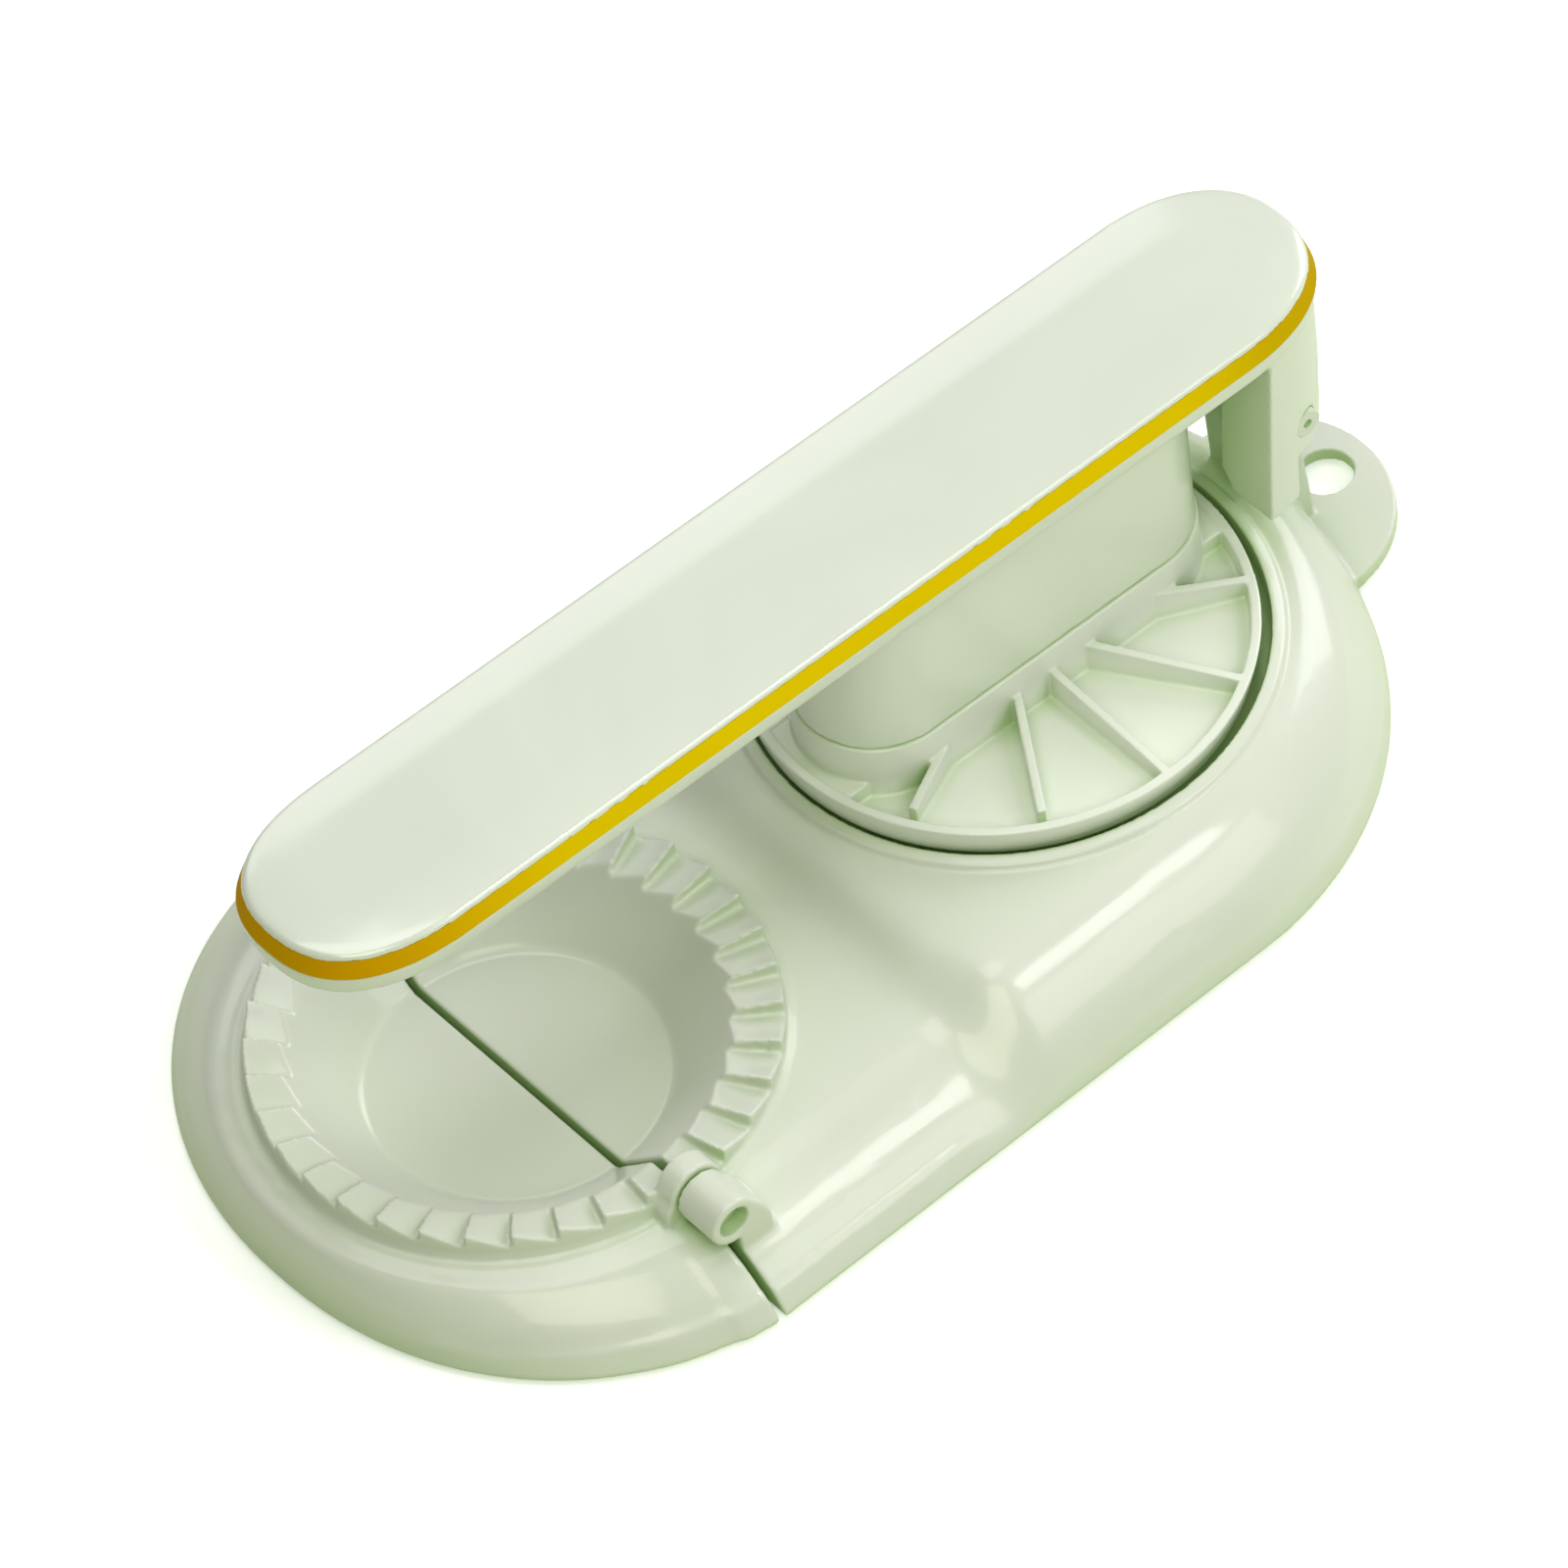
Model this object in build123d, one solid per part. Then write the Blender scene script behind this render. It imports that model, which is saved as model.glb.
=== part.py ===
from build123d import *
import math
import os

os.makedirs("parts", exist_ok=True)

# ---------------------------------------------------------------------------
# Driving dimensions, mm.  Working origin: centre of the folding mould, on the
# fold line, at the height of the upper deck.  +X runs from the mould to the
# lever hinge, +Z is up.  Everything is moved to the part frame on export.
# ---------------------------------------------------------------------------
Z_BOT = -16.8          # lower edge of the base shell
Z_LOW = -5.0           # lower deck, round the mould
Z_UP = 0.0             # upper deck, round the press well
WALL = 2.4             # base shell wall
GAP = 0.55             # half of the gap along the fold line

HALF_W = 56.5          # half width of the base at its lower edge
LOW_TOP_W = 39.6       # half width where the lower deck starts to round down
UP_TOP_W = 41.2        # half width where the upper deck starts to round down
END_X = 90.3           # centre of the rounded hinge end
END_A = 54.9           # its reach at the lower edge
END_TOP_A = 44.8       # its reach at the upper deck
TIP_X = -45.05          # mould end of the base
TIP_TOP = -39.6

BOWL_R = 21.8          # mould floor
BOWL_Z = -12.6
RING_RI = 31.1         # where the bowl wall reaches RING_Z
RING_Z = -3.0
BOWL_SLOPE = (RING_RI - BOWL_R) / (RING_Z - BOWL_Z)
TEETH = 17
PITCH = 10.2           # degrees per crimp tooth
FIRST = 99.6           # angle of the first tooth step on the flap, from +X
AXIS_Z = -1.6          # fold axis height

WELL_X = 93.2          # press well
WELL_R = 38.1
WELL_Z = -4.6
LIP_R = 40.1
LIP_Z = 1.25

KN_R = 4.0             # knuckle barrel
KN_HOLE = 2.55         # flap pin radius plus running fit
FLAP_PIN_R = 2.5
KN_IN0, KN_IN1 = 36.5, 40.4      # flap knuckle, |y|
KN_OUT0, KN_OUT1 = 40.8, 48.5    # base knuckle, |y|

TAB_X, TAB_R = 142.4, 17.8       # hanging loop
TAB_Z1, TAB_Z0 = -14.2, -16.65
LOOP_X, LOOP_R = 152.7, 4.1

PIV_X, PIV_Z = 140.6, 20.0       # lever axis
PIN_R = 2.2
POST_W = 4.6                     # half width of the hinge post
TILT = 2.6                       # the lever rests this far open, degrees

# lever frame: u along the lever, w square to it, origin at the centre of the
# free end's arc on the upper edge of the trim strip
U_P, W_P = 160.4, -25.25
HW = 16.1                        # half width at the top of the strip, free end
HW_R = 15.7                      # the same at the hinge end
UL, HL = 5.5, 148.9              # where the straight sides begin and end
AL, AR = 22.5, 21.2              # reach of the rounded ends
STRIP_H = 2.7
FLARE = 0.9
SHELL_W = -6.95                   # underside of the lever
PLATE_U = 112.75
W_RIM = -42.85
PLATE_R, PLATE_RB = 37.6, 36.5
PLATE_H = 5.5
STEM_R = 12.1
STEM_HALF = 22.0
W_SEAM = -36.25
LEG_U, LEG_W = 151.3, -38.05
LEG_Y = 5.0

FOOT_R, FOOT_H = 4.2, 0.8
BODY_FEET = [(16.0, 42.5), (118.0, 36.5)]
FLAP_FEET = [(-29.0, 32.0)]

SHIFT = Location((-57.6, 0, 17.6))


def prof(t, n):
    t = min(max(t, 0.0), 1.0)
    return (1 - t ** n) ** (1 / n)


def foot_round(z):
    """How far the rounded lower edge draws in."""
    h = min(0.5, 0.5 - (z - Z_BOT))
    return 0.5 - math.sqrt(max(0.0, 0.25 - h * h)) if h > 0 else 0.0


def w_low(z, dz=0.0, inset=0.0):
    t = (z + dz - Z_BOT) / (Z_LOW - Z_BOT)
    return LOW_TOP_W + (HALF_W - LOW_TOP_W) * prof(t, 1.4) - foot_round(z + dz) - inset


def w_up(z, dz=0.0, inset=0.0):
    t = (z + dz - Z_BOT) / (Z_UP - Z_BOT)
    return UP_TOP_W + (HALF_W - UP_TOP_W) * prof(t, 1.45) - foot_round(z + dz) - inset


def end_a(z, dz=0.0, inset=0.0):
    t = (z + dz - Z_BOT) / (Z_UP - Z_BOT)
    return END_TOP_A + (END_A - END_TOP_A) * prof(t, 1.8) - foot_round(z + dz) - inset


X_A, X_B = 40.0, 58.0            # the side wall widens between these


def end_arc(z, a, b):
    """Half ellipse from (END_X, -b) round the hinge end to (END_X, b)."""
    pts = []
    for k in range(0, 25):
        q = math.radians(-90 + 7.5 * k)
        pts.append((END_X + a * math.cos(q), b * math.sin(q), z))
    return Spline(*pts, tangents=((1, 0, 0), (-1, 0, 0)))


def s_curve(z, wu, wl, xa, xb, sign):
    """Side wall from the wide part (xb) in to the narrow part (xa)."""
    n = 7
    pts = []
    for k in range(n):
        s = k / (n - 1)
        x = xb + (xa - xb) * s
        g = 0.5 + 0.5 * math.cos(math.pi * s)
        pts.append((x, sign * (wl + (wu - wl) * g), z))
    return Spline(*pts, tangents=((-1, 0, 0), (-1, 0, 0)))


def lower_section(z, dz=0.0, inset=0.0, x0=GAP):
    wu, wl, a = w_up(z, dz, inset), w_low(z, dz, inset), end_a(z, dz, inset)
    e = [
        Line((X_B, -wu, z), (END_X, -wu, z)),
        end_arc(z, a, wu),
        Line((END_X, wu, z), (X_B, wu, z)),
        s_curve(z, wu, wl, X_A, X_B, 1),
        Line((X_A, wl, z), (x0, wl, z)),
        Line((x0, wl, z), (x0, -wl, z)),
        Line((x0, -wl, z), (X_A, -wl, z)),
        s_curve(z, wu, wl, X_A, X_B, -1),
    ]
    return Wire(e)


def step_x(s):
    """Front of the upper deck: s=0 at the lower deck, s=1 at the upper one."""
    # gentle valley below, broad shoulder above
    return X_A + (53.0 - X_A) * (0.5 * (1 - (1 - s) ** 2.6) ** 0.55 + 0.5 * (1 - math.sqrt(max(0.0, 1 - s ** 2.2)))) if 0 < s < 1 else (X_A if s <= 0 else 53.0)


def upper_section(z, dz=0.0, inset=0.0, xin=0.0):
    wu, a = w_up(z, dz, inset), end_a(z, dz, inset)
    s = (z + dz - Z_LOW) / (Z_UP - Z_LOW)
    xs = step_x(s) + xin
    wc0 = w_low(Z_LOW, 0, inset)
    wc1 = 33.0 - inset
    wc = wc0 + (wc1 - wc0) * s
    n = 7
    pts = []
    for k in range(n):
        q = k / (n - 1)
        g = 0.5 + 0.5 * math.cos(math.pi * q)
        # blend the S shape at the valley into a rounded corner at the deck
        sx = X_B + (xs - X_B) * q
        sy = wc + (wu - wc) * g
        cx = X_B + (xs - X_B) * math.sin(q * math.pi / 2)
        cy = wc + (wu - wc) * math.cos(q * math.pi / 2)
        m = min(1.0, 1.6 * s)
        pts.append((sx + (cx - sx) * m, sy + (cy - sy) * m))
    p_up = [(x, y, z) for x, y in pts]
    p_dn = [(x, -y, z) for x, y in pts]
    e = [
        Line((X_B, -wu, z), (END_X, -wu, z)),
        end_arc(z, a, wu),
        Line((END_X, wu, z), (X_B, wu, z)),
        Spline(*p_up) if s > 0.001 else s_curve(z, wu, wc, xs, X_B, 1),
        Line((xs, wc, z), (xs, -wc, z)),
        Spline(*p_dn) if s > 0.001 else s_curve(z, wu, wc, xs, X_B, -1),
    ]
    return Wire(e)


def zs_lower(dz):
    return [v - dz for v in (Z_BOT, -16.6, -16.25, -15.5, -14.4, -12.4, -10.4, -8.6, -7.1, -5.9, Z_LOW)]


def zs_upper(dz):
    return [v - dz for v in (Z_LOW, -4.4, -3.6, -2.7, -1.8, -1.0, -0.4, -0.08, Z_UP)]


def body_block(dz=0.0, inset=0.0, x0=GAP):
    low = Solid.make_loft([lower_section(z, dz, inset, x0) for z in zs_lower(dz)])
    if inset:
        # the hollow's upper part starts inside its lower part, so no faces coincide
        zs = [Z_LOW - dz - 1.2, Z_LOW - dz - 0.6] + zs_upper(dz)
        up = Solid.make_loft([upper_section(z, dz, inset + 0.1, inset) for z in zs])
    else:
        up = Solid.make_loft([upper_section(z, dz, inset, inset) for z in zs_upper(dz)])
    return low + up


def flap_section(z, dz=0.0, inset=0.0, x0=-GAP):
    """Folding half: outline at height z, round at the deck, long at the foot."""
    t = (z + dz - Z_BOT) / (Z_LOW - Z_BOT)
    ws = w_low(z, dz, inset)
    tip = TIP_TOP + (TIP_X - TIP_TOP) * prof(t, 2.6) + foot_round(z + dz) + inset
    f = prof(t, 1.4)
    n = 2.0 + 0.14 * f
    xc = 10.0 * f
    ra = xc - tip
    rb = ws / (1 - (max(xc - x0, 0.0) / ra) ** n) ** (1 / n)
    # angle at which the outline meets the fold line
    q0 = math.acos(min(1.0, (max(xc - x0, 0.0) / ra) ** (n / 2)))
    pts = []
    for k in range(25):
        q = -q0 + 2 * q0 * k / 24
        c, d = math.cos(q), math.sin(q)
        pts.append((xc - ra * c ** (2 / n), -rb * math.copysign(abs(d) ** (2 / n), d), z))
    # from (x0, +ws) round the tip to (x0, -ws)
    pts[0], pts[-1] = (x0, ws, z), (x0, -ws, z)
    tx = -1.0
    ty = -(pts[0][1] - pts[1][1]) / (pts[0][0] - pts[1][0]) * 0.5
    return Wire([Spline(*pts, tangents=((tx, ty, 0), (-tx, ty, 0))), Line(pts[-1], pts[0])])


def flap_block(dz=0.0, inset=0.0, x0=-GAP):
    return Solid.make_loft([flap_section(z, dz, inset, x0) for z in zs_lower(dz)])


def rz(points, x=0.0):
    """Revolve an (r, z) polygon about the vertical line through (x, 0)."""
    f = Face(Wire.make_polygon([(r, 0, z) for r, z in points], close=True))
    return Solid.revolve(f, 360, Axis((0, 0, 0), (0, 0, 1))).moved(Location((x, 0, 0)))


def box(x0, x1, y0, y1, z0, z1):
    return Solid.make_box(x1 - x0, y1 - y0, z1 - z0).moved(Location((x0, y0, z0)))


def ycyl(r, y0, y1, x, z):
    return Solid.make_cylinder(r, y1 - y0, Plane((x, y0, z), z_dir=(0, 1, 0)))


def zcyl(r, z0, z1, x, y):
    return Solid.make_cylinder(r, z1 - z0, Plane((x, y, z0)))


def prism_y(pts, y0, y1):
    """Polygon in the XZ plane carried from y0 to y1."""
    f = Face(Wire.make_polygon([(x, y0, z) for x, z in pts], close=True))
    return Solid.extrude(f, Vector(0, y1 - y0, 0))


def tooth(a0, a1, ri, ro, zb, lo_in, lo_out, hi_in, hi_out):
    """One crimp tooth: tall at a0, low at a1 (degrees)."""
    secs = []
    for k in range(3):
        s = k / 2
        a = math.radians(a0 + (a1 - a0) * s)
        zi, zo = hi_in + (lo_in - hi_in) * s, hi_out + (lo_out - hi_out) * s
        c, n = math.cos(a), math.sin(a)
        secs.append(Wire.make_polygon([(ri * c, ri * n, zb), (ro * c, ro * n, zb),
                                       (ro * c, ro * n, zo), (ri * c, ri * n, zi)], close=True))
    return Solid.make_loft(secs, True)


def ring(angles, ro, foot_r, zb, lo_in, lo_out, hi_in, hi_out):
    teeth = [tooth(a, b, 28.5, ro, zb, lo_in, lo_out, hi_in, hi_out) for a, b in angles]
    base = rz([(28.5, zb - 3), (foot_r, zb - 3), (foot_r, Z_LOW - 0.2), (foot_r - 0.2, Z_LOW + 0.3),
               (ro, min(lo_out, lo_in) - 0.5), (28.5, min(lo_out, lo_in) - 0.5)])
    return base.fuse(*teeth)


BOWL_CUT = rz([(0, BOWL_Z), (BOWL_R, BOWL_Z), (BOWL_R + 0.9, BOWL_Z + 0.6),
               (RING_RI, RING_Z), (RING_RI + 5 * BOWL_SLOPE, RING_Z + 5), (0, RING_Z + 5)])
BOWL_SKIN = rz([(0, BOWL_Z - 2.2), (BOWL_R + 0.4, BOWL_Z - 2.2), (31.6, -6.6), (31.6, Z_LOW - 0.3), (0, Z_LOW - 0.3)])

KN_RI = KN_R + 0.5       # the folding half's knuckles stand a little proud

# ---- base ------------------------------------------------------------------
outer = body_block()
void = body_block(WALL, WALL, GAP + WALL)
keep = box(-70, 200, -70, 70, -30, 30)
half_body = box(GAP, 60, -60, 60, -30, 20)

body_angles = []
a = -(180 - FIRST) + 0.5
edges = [-90.0] + [a + PITCH * k for k in range(TEETH)] + [90.0]
for k in range(len(edges) - 1):
    body_angles.append((edges[k], edges[k + 1]))
body_ring = ring(body_angles, 38.8, 40.2, -6.0, -3.6, -3.7, -2.6, -1.0) & half_body

well_skin = rz([(0, WELL_Z - 2.2), (LIP_R - 0.4, WELL_Z - 2.2), (LIP_R - 0.4, -1.0), (0, -1.0)], WELL_X)
lip = rz([(WELL_R - 2, -1.5), (LIP_R, -1.5), (LIP_R, 0.55), (LIP_R - 0.25, 0.8), (WELL_R + 0.3, LIP_Z), (WELL_R - 2, LIP_Z)], WELL_X)
well_cut = rz([(0, WELL_Z), (WELL_R - 0.8, WELL_Z), (WELL_R, WELL_Z + 0.8), (WELL_R, 10), (0, 10)], WELL_X)

tab = zcyl(TAB_R, TAB_Z0, TAB_Z1, TAB_X, 0)
body = outer.fuse(tab) - void
body = body.fuse(BOWL_SKIN & half_body, well_skin, body_ring, lip)
body = body.cut(BOWL_CUT & box(-1, 60, -60, 60, -30, 20), well_cut)

# knuckles of the mould hinge
for s in (-1, 1):
    y0, y1 = sorted((s * KN_OUT0, s * KN_OUT1))
    barrel = ycyl(KN_R, y0, y1, 0, AXIS_Z)
    web = prism_y([(0.0, AXIS_Z + KN_R), (1.2, AXIS_Z + KN_R - 0.2), (3.4, AXIS_Z + KN_R - 1.9), (5.4, AXIS_Z - 0.8), (6.4, Z_LOW), (6.6, -9.5), (GAP, -9.5), (GAP, AXIS_Z - 3.0), (0, AXIS_Z)], y0, y1)
    i0, i1 = sorted((s * (KN_IN0 - 0.3), s * (KN_OUT0)))
    scoop = ycyl(KN_RI + 0.4, i0, i1, 0, AXIS_Z)
    room = prism_y([(0, -6.2), (2.7, -5.6), (6.4, -0.6), (6.6, 6.0), (0, 6.0)], i0, i1)
    body = body.cut(scoop, room)
    body = body.fuse(barrel, web)
    h0, h1 = sorted((s * KN_OUT0 - s * 1, s * (KN_OUT1 + 1)))
    body = body.cut(ycyl(FLAP_PIN_R, h0, h1, 0, AXIS_Z))

# hinge post of the lever
post = prism_y([(136.3, -3.0), (136.3, PIV_Z), (PIV_X, PIV_Z + 0.1), (145.0, PIV_Z), (146.3, -4.0), (146.6, -15.0), (141.0, -15.0)], -POST_W, POST_W)
post = post.fuse(ycyl(4.35, -POST_W, POST_W, PIV_X, PIV_Z))
body = body.fuse(post).cut(ycyl(PIN_R + 0.05, -10, 10, PIV_X, PIV_Z))

# hanging loop
body = body.cut(zcyl(LOOP_R, -30, -10, LOOP_X, 0))


def boss(x, y, ztop):
    return zcyl(FOOT_R + 1.3, Z_BOT, ztop, x, y)


for x, y in BODY_FEET:
    for s in (-1, 1):
        body = body.fuse(boss(x, s * y, -10.5 if x < 50 else -8.0) & outer)
# stiffening ribs under the well
rib_a = box(54, 137, -1.0, 1.0, -11.0, WELL_Z - 1.5) & outer
rib_b = box(WELL_X - 1, WELL_X + 1, -52, 52, -11.0, WELL_Z - 1.5) & outer
body = body.fuse(rib_a, rib_b)

# ---- folding half ----------------------------------------------------------
f_outer = flap_block()
f_void = flap_block(WALL, WALL, -GAP - WALL)
half_flap = box(-60, -GAP, -60, 60, -30, 20)
flap_angles = []
edges = [90.0] + [360 - FIRST - PITCH * k for k in range(TEETH)][::-1] + [270.0]
for k in range(len(edges) - 1):
    flap_angles.append((edges[k], edges[k + 1]))
flap_ring = ring(flap_angles, 37.7, 38.2, -6.0, -3.3, -2.6, -2.7, 0.1) & half_flap
flap = f_outer - f_void
flap = flap.fuse(BOWL_SKIN & half_flap, flap_ring)
flap = flap.cut(BOWL_CUT & box(-60, 1, -60, 60, -30, 20))
for s in (-1, 1):
    y0, y1 = sorted((s * KN_IN0, s * KN_IN1))
    barrel = ycyl(KN_RI, y0, y1, 0, AXIS_Z)
    web = prism_y([(0.0, AXIS_Z + KN_RI), (-2.2, AXIS_Z + KN_RI - 0.6), (-5.6, -3.0), (-6.0, -7.5), (-GAP, -7.5), (-GAP, AXIS_Z - 3.0), (0, AXIS_Z)], y0, y1)
    o0, o1 = sorted((s * (KN_OUT0 - 0.4), s * (KN_OUT1 + 3.0)))
    scoop = ycyl(KN_R + 0.9, o0, o1, 0, AXIS_Z)
    flap = flap.cut(scoop)
    flap = flap.fuse(barrel, web)
    h0, h1 = sorted((s * (KN_IN0 - 1), s * (KN_IN1 + 1)))
    flap = flap.cut(ycyl(KN_HOLE, h0, h1, 0, AXIS_Z))
for x, y in FLAP_FEET:
    for s in (-1, 1):
        flap = flap.fuse(boss(x, s * y, -9.0) & f_outer)

# ---- feet ------------------------------------------------------------------
feet = []
for x, y in BODY_FEET:
    for s in (-1, 1):
        feet.append(zcyl(FOOT_R, Z_BOT - FOOT_H, Z_BOT, x, s * y))
flap_feet = []
for x, y in FLAP_FEET:
    for s in (-1, 1):
        flap_feet.append(zcyl(FOOT_R, Z_BOT - FOOT_H, Z_BOT, x, s * y))

# ---- mould hinge pins ------------------------------------------------------
pin_near = ycyl(FLAP_PIN_R, -46.0, -(KN_IN0 + 0.4), 0, AXIS_Z)
pin_far = ycyl(FLAP_PIN_R, KN_IN0 + 0.4, 46.0, 0, AXIS_Z)


# ---- lever, built level in its own frame -----------------------------------
def stadium(w, off, nl=2.42, nr=2.27):
    """Closed outline of the lever at height w, set out by off."""
    lft, rgt = [], []
    for k in range(25):
        q = math.radians(-90 + 7.5 * k)
        c, d = math.cos(q), math.sin(q)
        if k in (0, 24):
            c, d = 0.0, math.copysign(1.0, d)
        rgt.append((HL + (AR + off) * abs(c) ** (2 / nr), (HW_R + off) * math.copysign(abs(d) ** (2 / nr), d), w))
        lft.append((UL - (AL + off) * abs(c) ** (2 / nl), -(HW + off) * math.copysign(abs(d) ** (2 / nl), d), w))
    return Wire([Spline(*lft, tangents=((-1, 0, 0), (1, 0, 0))), Line(lft[-1], rgt[0]),
                 Spline(*rgt, tangents=((1, 0, 0), (-1, 0, 0))), Line(rgt[-1], lft[0])])


def band(specs):
    """Solid through stadium outlines, each given as (w, offset)."""
    return Solid.make_loft([stadium(w, d) for w, d in specs], True)


def slot(w0, w1, r, u0, u1):
    """Upright solid with a racetrack plan."""
    e = Wire([ThreePointArc((u0, r, w0), (u0 - r, 0, w0), (u0, -r, w0)), Line((u0, -r, w0), (u1, -r, w0)),
              ThreePointArc((u1, -r, w0), (u1 + r, 0, w0), (u1, r, w0)), Line((u1, r, w0), (u0, r, w0))])
    return Solid.extrude(Face(e), Vector(0, 0, w1 - w0))


# trim strip: a closed band with a sloping outer face
strip = band([(-STRIP_H, FLARE), (0, 0)]) - band([(-STRIP_H - 1, -2.2), (1, -2.2)])

# cover: crowned lid with a locating rim inside the strip
cover_out = band([(0, 0), (0.4, -0.1), (0.7, -0.3), (0.95, -0.65), (1.1, -1.1), (1.25, -1.9), (1.4, -3.2), (1.6, -5.2), (1.8, -8.0)])
cover_rim = band([(-2.2, -2.5), (0.2, -2.5)]) - band([(-3, -4.0), (1, -4.0)])
cover = cover_out - band([(-1, -2.4), (0.0, -2.6)])
cover = cover.fuse(cover_rim)
COVER_SCREWS = (-4.0, 62.0)
for u in COVER_SCREWS:
    cover = cover.fuse(zcyl(3.2, -4.1, 0.8, u, 0)).cut(zcyl(1.25, -5, -0.4, u, 0))

# lower shell
shell = band([(SHELL_W, -0.9), (SHELL_W + 0.12, -0.42), (SHELL_W + 0.42, 0.0), (SHELL_W + 1.0, 0.34), (SHELL_W + 2.2, 0.62), (-STRIP_H, FLARE)])
leg_plan = Solid.make_loft([stadium(-45, 0.2), stadium(-4.5, 0.2)], True)
side = [(LEG_U + 2.4, -4.8), (LEG_U, LEG_W), (LEG_U + 6.1, LEG_W), (LEG_U + 6.7, W_P - 4.6), (U_P, W_P - 5.2),
        (U_P + 2.6, W_P - 4.6), (U_P + 4.5, W_P - 2.6), (U_P + 5.2, W_P), (U_P + 5.6, W_P + 4), (U_P + 9.0, W_P + 9), (U_P + 9.5, -4.8)]
legs = []
for s in (-1, 1):
    y0, y1 = sorted((s * LEG_Y, s * 18.0))
    leg = prism_y(side, y0, y1) & leg_plan
    # chamfer at the foot of the inner face
    c = Solid.extrude(Face(Wire.make_polygon([(140, s * (LEG_Y - 0.1), LEG_W - 0.1), (140, s * (LEG_Y + 2.4), LEG_W - 0.1), (140, s * (LEG_Y - 0.1), LEG_W + 3.2)], close=True)), Vector(40, 0, 0))
    leg = leg.cut(c)
    legs.append(leg)
stem = slot(W_SEAM, -4.8, STEM_R, PLATE_U - STEM_HALF, PLATE_U + STEM_HALF)
shell = shell.fuse(*legs).fuse(stem)
# inside of the shell, open under the cover
shell = shell.cut(band([(-4.15, -3.2), (-3.6, -2.5), (0.5, -2.2)]))
shell = shell.cut(slot(W_SEAM + 2.4, 0, STEM_R - 2.2, PLATE_U - STEM_HALF, PLATE_U + STEM_HALF))
for s in (-1, 1):
    y0, y1 = sorted((s * 8.0, s * 12.2))
    shell = shell.cut(box(155.4, 163.6, y0, y1, -20.0, -3))
# hollow under the free end, which the folding half swings through
groove = slot(-12, -5.25, 15.0, 6.0, 61.0)
shell = shell.cut(groove)
# cover screw bosses, from below
for u in COVER_SCREWS:
    shell = shell.fuse(zcyl(3.6, -5.6, -4.15, u, 0))
    shell = shell.cut(zcyl(1.6, -12, 0, u, 0))
# plate screw holes
PS = (PLATE_U - 15.0, PLATE_U + 15.0)
for u in PS:
    shell = shell.cut(zcyl(1.6, W_SEAM - 1, W_SEAM + 3, u, 0))
shell = shell.cut(ycyl(PIN_R, -20, 20, U_P, W_P))

lever_pin = ycyl(PIN_R, -14.3, 14.3, U_P, W_P).cut(ycyl(0.75, -15, -13.6, U_P, W_P), ycyl(0.75, 13.6, 15, U_P, W_P))


def screw(x, y, z_seat, up, r, length, head_r, head_h):
    """Pan head screw, head on the seat, shank along `up` (+1 or -1)."""
    if up > 0:
        s = zcyl(r, z_seat - 0.2, z_seat + length, x, y).fuse(zcyl(head_r, z_seat - head_h, z_seat, x, y))
        drive = box(x - head_r * 0.6, x + head_r * 0.6, y - 0.35, y + 0.35, z_seat - head_h - 1, z_seat - head_h + 0.9)
        drive2 = box(x - 0.35, x + 0.35, y - head_r * 0.6, y + head_r * 0.6, z_seat - head_h - 1, z_seat - head_h + 0.9)
    else:
        s = zcyl(r, z_seat - length, z_seat + 0.2, x, y).fuse(zcyl(head_r, z_seat, z_seat + head_h, x, y))
        drive = box(x - head_r * 0.6, x + head_r * 0.6, y - 0.35, y + 0.35, z_seat + head_h - 0.9, z_seat + head_h + 1)
        drive2 = box(x - 0.35, x + 0.35, y - head_r * 0.6, y + head_r * 0.6, z_seat + head_h - 0.9, z_seat + head_h + 1)
    return s.cut(drive, drive2)


cover_screws = [screw(u, 0, -5.6, 1, 1.2, 4.9, 2.4, 1.3) for u in COVER_SCREWS]
plate_screws = [screw(u, 0, W_SEAM + 2.4, -1, 1.45, 8.0, 2.8, 2.0) for u in PS]

# ---- press plate (lever frame) ---------------------------------------------
W_FLOOR = W_RIM - 3.0
W_UNDER = W_RIM - PLATE_H
plate = rz([(0, W_UNDER), (PLATE_RB - 0.4, W_UNDER), (PLATE_RB, W_UNDER + 0.4), (PLATE_R - 0.2, W_RIM - 1.2), (PLATE_R, W_RIM),
            (PLATE_R - 1.5, W_RIM), (PLATE_R - 1.8, W_FLOOR), (0, W_FLOOR)], PLATE_U)
collar = slot(W_FLOOR - 0.5, W_SEAM - 0.03, STEM_R + 0.4, PLATE_U - STEM_HALF, PLATE_U + STEM_HALF)
collar = collar - slot(W_FLOOR, W_SEAM + 1, STEM_R - 2.2, PLATE_U - STEM_HALF, PLATE_U + STEM_HALF)
for u in PS:
    collar = collar.fuse(zcyl(3.6, W_FLOOR - 0.5, W_SEAM - 0.03, u, 0)).cut(zcyl(1.5, W_FLOOR + 0.6, W_SEAM + 1, u, 0))
RIBS = [((94.2, -11.5), (83.6, -16.0)), ((106.6, -11.5), (95.9, -28.7)), ((112.5, -11.5), (112.8, -35.3)),
        ((118.7, -11.5), (131.5, -30.6)), ((131.2, -11.5), (144.0, -17.6))]
inside_rim = rz([(0, W_FLOOR - 0.3), (PLATE_R - 1.4, W_FLOOR - 0.3), (PLATE_R - 1.4, W_SEAM), (0, W_SEAM)], PLATE_U)
ribs = []
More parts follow.
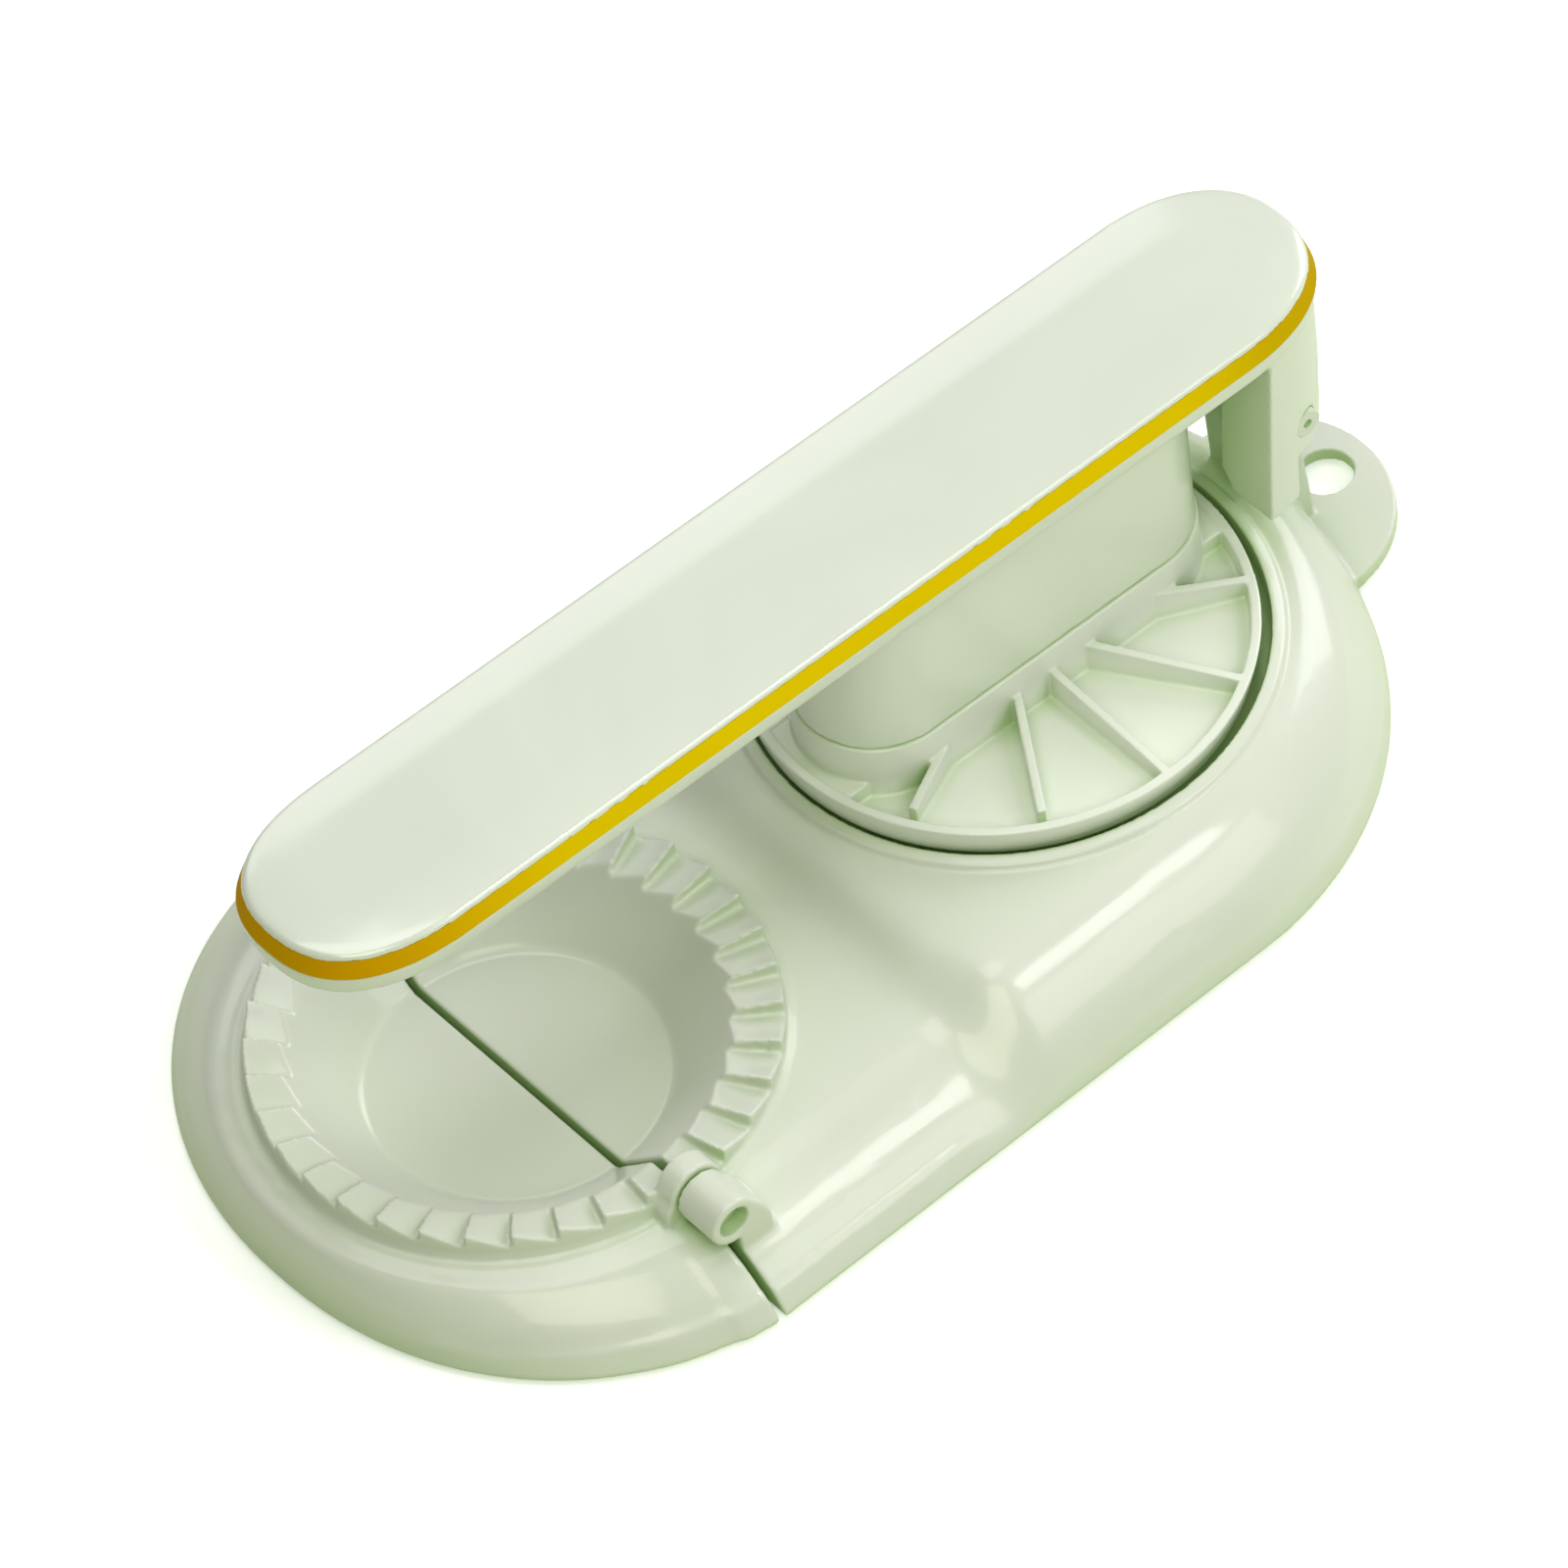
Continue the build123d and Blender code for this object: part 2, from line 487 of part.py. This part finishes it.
for (ua, ya), (ub, yb) in RIBS:
    for s in (-1, 1):
        p, q = Vector(ua, -s * ya, 0), Vector(ub, -s * yb, 0)
        d = (q - p).normalized()
        n = Vector(-d.Y, d.X, 0) * 0.65
        q = q + d * 1.0
        f = Face(Wire.make_polygon([Vector(p.X, p.Y, W_FLOOR - 0.3), Vector(q.X, q.Y, W_FLOOR - 0.3), Vector(q.X, q.Y, W_RIM), Vector(p.X, p.Y, W_RIM + 2.4)], close=True))
        f = f.moved(Location(-n))
        ribs.append(Solid.extrude(f, n * 2) & inside_rim)
pads = []
for u0, u1 in ((PLATE_U - PLATE_R + 1.2, PLATE_U - STEM_HALF - 8.0), (PLATE_U + STEM_HALF + 8.0, PLATE_U + PLATE_R - 1.2)):
    pads.append(box(u0, u1, -8.5, 8.5, W_FLOOR - 0.3, W_RIM - 0.25) & inside_rim)
plate = plate.fuse(collar, *ribs, *pads)
for u in PS:
    plate = plate.cut(zcyl(1.5, W_FLOOR + 0.6, W_SEAM + 1, u, 0))
hollow = slot(W_FLOOR, W_SEAM + 1, STEM_R - 2.2, PLATE_U - STEM_HALF, PLATE_U + STEM_HALF)
for u in PS:
    hollow = hollow - zcyl(3.6, W_FLOOR - 1, W_SEAM + 2, u, 0)
plate = plate.cut(hollow)

# the lever frame sits so that its hinge line meets the post
t = math.radians(TILT)
X_L = PIV_X - (U_P * math.cos(t) + W_P * math.sin(t))
Z_L = PIV_Z - (-U_P * math.sin(t) + W_P * math.cos(t))
LEVER = Location((X_L, 0, Z_L)) * Location((0, 0, 0), (0, 1, 0), TILT)


def out(name, shape, lever=False):
    if isinstance(shape, list):
        shape = Compound(children=[s for s in shape])
    if lever:
        shape = shape.moved(LEVER)
    shape = shape.moved(SHIFT)
    export_step(shape, "parts/%s.step" % name)


def one(shape):
    """The single solid of a finished boolean."""
    ss = shape.solids()
    ss.sort(key=lambda s: -s.volume)
    return ss[0]


PARTS = {
    "base_body": (body, False), "mould_flap": (flap, False),
    "flap_pin_near": (pin_near, False), "flap_pin_far": (pin_far, False),
    "lever_shell": (shell, True), "lever_cover": (cover, True), "trim_strip": (strip, True),
    "lever_pin": (lever_pin, True), "press_plate": (plate, True),
    "plate_screws": (plate_screws, True), "cover_screws": (cover_screws, True),
}
for k, f in enumerate(feet):
    PARTS["foot_%d" % (k + 1)] = (f, False)
for k, f in enumerate(flap_feet):
    PARTS["flap_foot_%d" % (k + 1)] = (f, False)
for name, (shape, lev) in PARTS.items():
    n = len(shape) if isinstance(shape, list) else len(shape.solids())
    if not isinstance(shape, list):
        print(name, shape.is_valid, n, [round(s.volume, 2) for s in shape.solids()][:6])
    out(name, shape, lev)
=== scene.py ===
import math

import bmesh
import bpy
import numpy as np
from mathutils import Matrix, Vector


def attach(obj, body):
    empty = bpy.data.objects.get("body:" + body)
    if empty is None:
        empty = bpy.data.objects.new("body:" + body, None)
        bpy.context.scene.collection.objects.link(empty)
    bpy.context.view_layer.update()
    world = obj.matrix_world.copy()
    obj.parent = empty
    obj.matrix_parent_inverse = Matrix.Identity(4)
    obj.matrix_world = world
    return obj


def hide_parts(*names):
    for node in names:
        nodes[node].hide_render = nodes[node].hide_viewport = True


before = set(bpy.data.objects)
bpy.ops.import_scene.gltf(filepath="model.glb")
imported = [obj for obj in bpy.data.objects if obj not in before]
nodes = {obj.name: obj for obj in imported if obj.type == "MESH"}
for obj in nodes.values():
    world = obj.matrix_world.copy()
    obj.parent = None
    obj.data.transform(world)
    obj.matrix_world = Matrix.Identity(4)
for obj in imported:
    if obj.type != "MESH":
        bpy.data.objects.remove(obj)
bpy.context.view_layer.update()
scene = bpy.context.scene

MM = 0.001
SHIFT = Vector((-57.6, 0.0, 17.6))      # drawing frame to part frame, mm

# ---------------------------------------------------------------------------
# camera
# ---------------------------------------------------------------------------
AZ, EL, ROLL = 33.3796, 51.5261, -9.8427
U0, V0, SCALE, Z0 = 518.11, 1042.9, 7.29, 3333.33
FOCAL_PX = SCALE * Z0


def place_camera():
    a, e, r = (math.radians(v) for v in (AZ, EL, ROLL))
    d = Vector((math.sin(a) * math.cos(e), math.cos(a) * math.cos(e), -math.sin(e)))
    right = d.cross(Vector((0, 0, 1))).normalized()
    up = right.cross(d)
    r2 = right * math.cos(r) + up * math.sin(r)
    u2 = up * math.cos(r) - right * math.sin(r)
    t = Vector(((U0 - 800) * Z0 / FOCAL_PX, (V0 - 800) * Z0 / FOCAL_PX, Z0))
    # rows r2, -u2, d take a point to (right, down, forward)
    pos = -(r2 * t.x + (-u2) * t.y + d * t.z)
    cam = bpy.data.cameras.new("camera")
    cam.sensor_fit = "HORIZONTAL"
    cam.sensor_width = 36.0
    cam.lens = FOCAL_PX / 1600 * 36.0
    cam.clip_start, cam.clip_end = 0.5, 12.0
    ob = bpy.data.objects.new("camera", cam)
    scene.collection.objects.link(ob)
    m = Matrix((r2, u2, -d)).transposed().to_4x4()
    m.translation = (pos + SHIFT) * MM
    ob.matrix_world = m
    scene.camera = ob


place_camera()

# ---------------------------------------------------------------------------
# light and floor
# ---------------------------------------------------------------------------
scene.view_settings.view_transform = "Standard"
world = bpy.data.worlds.new("studio")
scene.world = world
world.use_nodes = True
world.node_tree.nodes["Background"].inputs[0].default_value = (0.85, 1, 0.7, 1)
world.node_tree.nodes["Background"].inputs[1].default_value = 0.05


def softbox(name, where, at, size_x, size_y, watts, colour=(1, 1, 1)):
    lamp = bpy.data.lights.new(name, "AREA")
    lamp.shape = "RECTANGLE"
    lamp.size, lamp.size_y = size_x, size_y
    lamp.energy = watts
    lamp.color = colour
    ob = bpy.data.objects.new(name, lamp)
    scene.collection.objects.link(ob)
    ob.location = where
    ob.rotation_mode = "QUATERNION"
    ob.rotation_quaternion = (Vector(at) - Vector(where)).to_track_quat("-Z", "Y")
    return ob


softbox("key", (0.42, -0.84, 0.58), (0, 0, 0.02), 0.55, 0.4, 1.9)
softbox("glint", (0.40, -0.60, 0.90), (0, 0, 0.02), 0.2, 0.2, 1.35)
softbox("top", (0.0, 0.12, 1.15), (0, 0, 0.02), 0.7, 0.7, 4.4)
softbox("right", (0.97, 0.11, 0.5), (0, 0, 0.02), 0.6, 0.6, 4.8)
softbox("back", (0.33, 0.88, 0.57), (0, 0, 0.02), 0.6, 0.6, 1.9)
softbox("front", (-0.38, -0.58, 0.88), (0, 0, 0.02), 0.6, 0.6, 4.2, (0.94, 1.0, 0.74))


def node_material(name):
    m = bpy.data.materials.new(name)
    m.use_nodes = True
    n, l = m.node_tree.nodes, m.node_tree.links
    return m, n, l, n["Principled BSDF"]


def flow_noise(n, l, seed, scale=22.0):
    tc = n.new("ShaderNodeTexCoord")
    mp = n.new("ShaderNodeMapping")
    mp.inputs["Location"].default_value = (seed, seed * 0.7, seed * 1.3)
    l.new(tc.outputs["Object"], mp.inputs["Vector"])
    flow = n.new("ShaderNodeTexNoise")
    flow.inputs["Scale"].default_value = scale
    flow.inputs["Detail"].default_value = 4.0
    flow.inputs["Distortion"].default_value = 1.2
    l.new(mp.outputs["Vector"], flow.inputs["Vector"])
    return tc, mp, flow


def ranged(n, l, src, a, b, c, d, smooth=False):
    r = n.new("ShaderNodeMapRange")
    if smooth:
        r.interpolation_type = "SMOOTHSTEP"
    for key, v in (("From Min", a), ("From Max", b), ("To Min", c), ("To Max", d)):
        r.inputs[key].default_value = v
    l.new(src, r.inputs["Value"])
    return r.outputs["Result"]


def mixed(n, l, fac, a, b):
    m = n.new("ShaderNodeMix")
    m.data_type = "RGBA"
    for key, v in (("A", a), ("B", b)):
        if isinstance(v, tuple):
            m.inputs[key].default_value = (*v, 1)
        else:
            l.new(v, m.inputs[key])
    l.new(fac, m.inputs["Factor"])
    return m.outputs["Result"]


def surface(n, l, b, mp, flow, rough, bump, grain):
    """Slightly uneven gloss and the fine texture left by the mould."""
    l.new(ranged(n, l, flow.outputs["Fac"], 0.0, 1.0, rough - 0.04, rough + 0.05), b.inputs["Roughness"])
    fine = n.new("ShaderNodeTexNoise")
    fine.inputs["Scale"].default_value = grain
    fine.inputs["Detail"].default_value = 3.0
    l.new(mp.outputs["Vector"], fine.inputs["Vector"])
    bp = n.new("ShaderNodeBump")
    bp.inputs["Strength"].default_value = bump
    bp.inputs["Distance"].default_value = 0.00005
    l.new(fine.outputs["Fac"], bp.inputs["Height"])
    l.new(bp.outputs["Normal"], b.inputs["Normal"])


def plastic(name, pale, shade_green, rough, bump, grain, seed, coat, reach=0.028, shut=0.05, clear=0.8):
    """Mint moulded plastic with faint flow variation, and painted shade: paler where it lies open,
    a deeper, darker green where ambient occlusion finds recesses, crevices and nearby surfaces."""
    m, n, l, b = node_material(name)
    tc, mp, flow = flow_noise(n, l, seed)
    f = ranged(n, l, flow.outputs["Fac"], 0.3, 0.7, 0.0, 1.0)
    light = mixed(n, l, f, tuple(c * 0.97 for c in pale), tuple(min(1.0, c * 1.015) for c in pale))
    # painted shade: ambient occlusion mixes the base colour from the pale tone towards a deeper, darker
    # green in recesses
    ao = n.new("ShaderNodeAmbientOcclusion")
    ao.samples = 6
    ao.inputs["Distance"].default_value = reach
    unshaded = ranged(n, l, ao.outputs["AO"], shut, clear, 0.0, 1.0)
    l.new(mixed(n, l, unshaded, shade_green, light), b.inputs["Base Color"])
    surface(n, l, b, mp, flow, rough, bump, grain)
    b.inputs["Coat Weight"].default_value = coat
    b.inputs["Coat Roughness"].default_value = 0.11
    return m


def strip_plastic(name):
    """Trim strip: lemon yellow along its length, with painted shade: darker amber towards the left end and
    partly towards the right end.
    """
    m, n, l, b = node_material(name)
    tc, mp, flow = flow_noise(n, l, 1.7, 40.0)
    sep = n.new("ShaderNodeSeparateXYZ")
    l.new(tc.outputs["Object"], sep.inputs["Vector"])
    # painted shade: the colour darkens to amber over the left end, and most of the way to a darker amber
    # over the right end
    t = ranged(n, l, sep.outputs["X"], -0.092, -0.045, 0.0, 1.0, True)
    u = ranged(n, l, sep.outputs["X"], 0.055, 0.092, 0.0, 0.85, True)
    body = mixed(n, l, t, (0.67, 0.32, 0.0), (0.86, 0.605, 0.0))
    body = mixed(n, l, u, body, (0.50, 0.30, 0.0))
    body = mixed(n, l, ranged(n, l, flow.outputs["Fac"], 0.3, 0.7, 0.0, 0.25), body, (0.70, 0.47, 0.0))
    l.new(body, b.inputs["Base Color"])
    surface(n, l, b, mp, flow, 0.5, 0.15, 1500.0)
    b.inputs["Specular IOR Level"].default_value = 0.01
    return m


# deeper green that ambient occlusion mixes into recesses: painted shade
PAINTED_SHADE_GREEN = (0.43, 0.625, 0.26)
mint = plastic("mint_plastic", (0.75, 0.775, 0.705), PAINTED_SHADE_GREEN, 0.38, 0.2, 1400.0, 0.3, 0.5)
gloss = plastic("gloss_mint_plastic", (0.775, 0.81, 0.73), PAINTED_SHADE_GREEN, 0.24, 0.1, 900.0, 0.9, 1.0)
plate = plastic("plate_plastic", (0.835, 0.86, 0.80), PAINTED_SHADE_GREEN, 0.38, 0.2, 1400.0, 0.6, 0.5, 0.004, 0.0, 0.8)
grip = plastic("lever_plastic", (0.785, 0.81, 0.745), PAINTED_SHADE_GREEN, 0.38, 0.2, 1400.0, 0.45, 0.5)
gold = strip_plastic("yellow_strip")


def steel(name):
    """Zinc plated screw: fine turning marks, slightly mottled."""
    m, n, l, b = node_material(name)
    tc, mp, flow = flow_noise(n, l, 2.9, 300.0)
    l.new(mixed(n, l, flow.outputs["Fac"], (0.42, 0.43, 0.45), (0.66, 0.67, 0.69)), b.inputs["Base Color"])
    b.inputs["Metallic"].default_value = 1.0
    surface(n, l, b, mp, flow, 0.34, 0.4, 3500.0)
    return m


def rubber(name):
    """Matt soft foot, lightly scuffed."""
    m, n, l, b = node_material(name)
    tc, mp, flow = flow_noise(n, l, 4.1, 120.0)
    l.new(mixed(n, l, flow.outputs["Fac"], (0.36, 0.43, 0.31), (0.46, 0.53, 0.40)), b.inputs["Base Color"])
    surface(n, l, b, mp, flow, 0.8, 0.6, 2500.0)
    b.inputs["Specular IOR Level"].default_value = 0.3
    return m


zinc, foot_rubber = steel("zinc_screw"), rubber("foot_rubber")


def material_for(name):
    if name == "trim_strip":
        return gold
    if name == "lever_cover":
        return gloss
    if name == "press_plate":
        return plate
    if name == "lever_shell":
        return grip
    if "screws" in name:
        return zinc
    if "foot" in name:
        return foot_rubber
    return mint


# ---------------------------------------------------------------------------
# pieces
# ---------------------------------------------------------------------------
def settle(ob):
    """Apply the modifiers."""
    dg = bpy.context.evaluated_depsgraph_get()
    me = bpy.data.meshes.new_from_object(ob.evaluated_get(dg))
    ob.modifiers.clear()
    ob.data = me


def weigh(ob, name, rule):
    """Vertex group from rule(x, y, z) in drawing millimetres, in ten steps."""
    co = np.empty(len(ob.data.vertices) * 3)
    ob.data.vertices.foreach_get("co", co)
    co = co.reshape(-1, 3) * 1000 - np.array(SHIFT)
    w = np.clip(np.round(rule(co[:, 0], co[:, 1], co[:, 2]) * 10), 0, 10).astype(int)
    vg = ob.vertex_groups.new(name=name)
    for k in range(1, 11):
        ids = np.nonzero(w == k)[0]
        if len(ids):
            vg.add(ids.tolist(), k / 10, "REPLACE")
    return vg.name


def ramp(v, a, b):
    t = np.clip((v - a) / (b - a), 0, 1)
    return t * t * (3 - 2 * t)


def smooth(ob, rounds, group=None):
    m = ob.modifiers.new("ease", "SMOOTH")
    m.factor, m.iterations = 0.5, rounds
    if group:
        m.vertex_group = group
    settle(ob)
    ob.vertex_groups.clear()


def prof(t, n):
    return (1 - np.clip(t, 0, 1) ** n) ** (1 / n)


def deck(x, a):
    """Height of the base's outer skin, mm, at x and half width a: the lower cross section
    passes into the upper one across a step that softens towards the side walls."""
    s = np.linspace(0, 1, 240)
    at = 40.6 + 13 * (0.5 * (1 - (1 - s) ** 2.6) ** 0.55 + 0.5 * (1 - np.sqrt(1 - s ** 2.2)))
    lo = -16.8 + 11.8 * prof((a - 39.6) / 16.9, 1.4)
    up = -16.8 + 16.8 * prof((a - 41.2) / 15.3, 1.45)
    rise, side = np.interp(x, at, s), ramp(a, 28, 42)
    return lo + (up - lo) * (rise + (ramp(x, 42.6, 54.8) - rise) * side)


def carry_step(ob):
    """Bring the outer skin onto deck(), so that the step runs out into the side walls."""
    me = ob.data
    co, no = np.empty(len(me.vertices) * 3), np.empty(len(me.vertices) * 3)
    me.vertices.foreach_get("co", co)
    me.vertices.foreach_get("normal", no)
    p = co.reshape(-1, 3) * 1000 - np.array(SHIFT)
    x, y, z = p.T
    w = ramp(x, 37, 40) * (1 - ramp(x, 58, 62)) * ramp(np.hypot(x, y), 41.3, 43.3) * ramp(np.hypot(x - 93.2, y), 41.3, 43.3) * ramp(z, -16.2, -15.2)
    ids = np.nonzero(w > 0)[0]
    q, sign, e = p[ids].copy(), np.sign(p[ids, 1]), 0.04
    for k in range(8):
        a = np.abs(q[:, 1])
        f = q[:, 2] - deck(q[:, 0], a)
        g = np.stack([(deck(q[:, 0] - e, a) - deck(q[:, 0] + e, a)) / (2 * e),
                      (deck(q[:, 0], a - e) - deck(q[:, 0], a + e)) / (2 * e) * sign, np.ones(len(a))], 1)
        if k == 0:
            size = np.linalg.norm(g, axis=1)
            skin = (np.sum(g * no.reshape(-1, 3)[ids], 1) / size > 0.3) & (np.abs(f) / size < 3.5)
        q -= (f / np.sum(g * g, 1))[:, None] * g
    q = q - p[ids]
    q[~skin] = 0
    p[ids] += q * w[ids, None]
    print("carry_step", int(skin.sum()), float(np.abs(q).max()))
    me.vertices.foreach_set("co", ((p + np.array(SHIFT)) / 1000).ravel())
    me.update()


def moulded(name, body, voxel, rounds, ratio, rule=None, blend=None, blend_rounds=0, sculpt=None):
    """A moulding with softly rounded edges, in place of its CAD solid."""
    me = nodes[name].data.copy()
    b = bmesh.new()
    b.from_mesh(me)
    bmesh.ops.remove_doubles(b, verts=b.verts, dist=2e-6)
    b.to_mesh(me)
    b.free()
    ob = bpy.data.objects.new(name + "_moulding", me)
    scene.collection.objects.link(ob)
    m = ob.modifiers.new("grid", "REMESH")
    m.mode, m.voxel_size = "VOXEL", voxel * MM
    settle(ob)
    if sculpt:
        sculpt(ob)
    if blend:
        smooth(ob, blend_rounds, weigh(ob, "blend", blend))
    smooth(ob, rounds, weigh(ob, "ease", rule) if rule else None)
    m = ob.modifiers.new("thin", "DECIMATE")
    m.ratio = ratio
    settle(ob)
    ob.data.materials.clear()
    ob.data.materials.append(material_for(name))
    for p in ob.data.polygons:
        p.use_smooth = True
    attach(ob, body)
    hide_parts(name)
    return ob


for name, ob in nodes.items():
    ob.data.materials.clear()
    ob.data.materials.append(material_for(name))
    for p in ob.data.polygons:
        p.use_smooth = True


def base_ease(x, y, z):
    """Crisp at the well's lip and along the fold line, soft elsewhere."""
    r = np.hypot(x - 93.2, y)
    lip = ramp(r, 35.5, 37.0) * (1 - ramp(r, 41.5, 43.0)) * ramp(z, -6, -4)
    fold = 1 - ramp(np.abs(x), 1.2, 3.0)
    return 1 - 0.8 * np.maximum(lip, fold)


def base_blend(x, y, z):
    """Where the side wall, the valley and the upper deck run together, and where the straight
    wall passes into the rounded end."""
    r = np.hypot(x - 93.2, y)
    q = np.hypot(x, y)
    a = np.abs(y)
    front = ramp(x, 34, 42) * (1 - ramp(x, 62, 74)) * ramp(a, 8, 20) * ramp(z, -15, -11) * ramp(r, 41.0, 44.0) * ramp(q, 41.0, 44.0)
    end = ramp(x, 80, 87) * (1 - ramp(x, 94, 103)) * ramp(a, 42.0, 45.0) * ramp(z, -16.2, -15)
    return np.maximum(front, end)


def flap_ease(x, y, z):
    return 1 - 0.8 * (1 - ramp(np.abs(x), 1.2, 3.0))


def cover_crown(x, y, z):
    """The lid's top, inside its rolled edge."""
    u = x + 18.5
    w = z - 52.5 + 0.0454 * u
    du = np.maximum(np.maximum((5.5 - u) / 22.5, (u - 148.9) / 21.2), 0)
    rho = (du ** 2.4 + (np.abs(y) / 16.0) ** 2.4) ** (1 / 2.4)
    return ramp(w, 0.4, 1.0) * ramp(16.0 * (1 - rho), 1.6, 3.6)


moulded("base_body", "base", 0.34, 5, 0.3, base_ease, base_blend, 70, carry_step)
moulded("mould_flap", "folding_half", 0.34, 5, 0.3, flap_ease)
moulded("lever_shell", "lever", 0.34, 4, 0.4)
moulded("press_plate", "lever", 0.22, 3, 0.35)
moulded("lever_cover", "lever", 0.2, 3, 0.4, None, cover_crown, 400)

# floor
bm = bmesh.new()
for x, y in ((-3, -3), (3, -3), (3, 3), (-3, 3)):
    bm.verts.new((x, y, 0))
bm.faces.new(bm.verts)
me = bpy.data.meshes.new("floor")
bm.to_mesh(me)
bm.free()
floor = bpy.data.objects.new("floor", me)
scene.collection.objects.link(floor)
fm, n, l, b = node_material("floor_white")
b.inputs["Base Color"].default_value = (0.92, 0.93, 0.92, 1)
b.inputs["Roughness"].default_value = 0.9
b.inputs["Specular IOR Level"].default_value = 0.0
b.inputs["Emission Color"].default_value = (1, 1, 1, 1)
b.inputs["Emission Strength"].default_value = 0.4
me.materials.append(fm)
floor.visible_diffuse = False
floor.visible_glossy = False
floor.visible_shadow = False

# bounce card under the floor: a softer, warmer green return than the white sweep gives
card = bpy.data.objects.new("bounce_card", me.copy())
scene.collection.objects.link(card)
card.location.z = -0.0005
card.visible_camera = False
cm, n, l, b = node_material("bounce_card")
b.inputs["Base Color"].default_value = (0.80, 0.87, 0.66, 1)
b.inputs["Roughness"].default_value = 0.9
b.inputs["Specular IOR Level"].default_value = 0.0
card.data.materials.clear()
card.data.materials.append(cm)
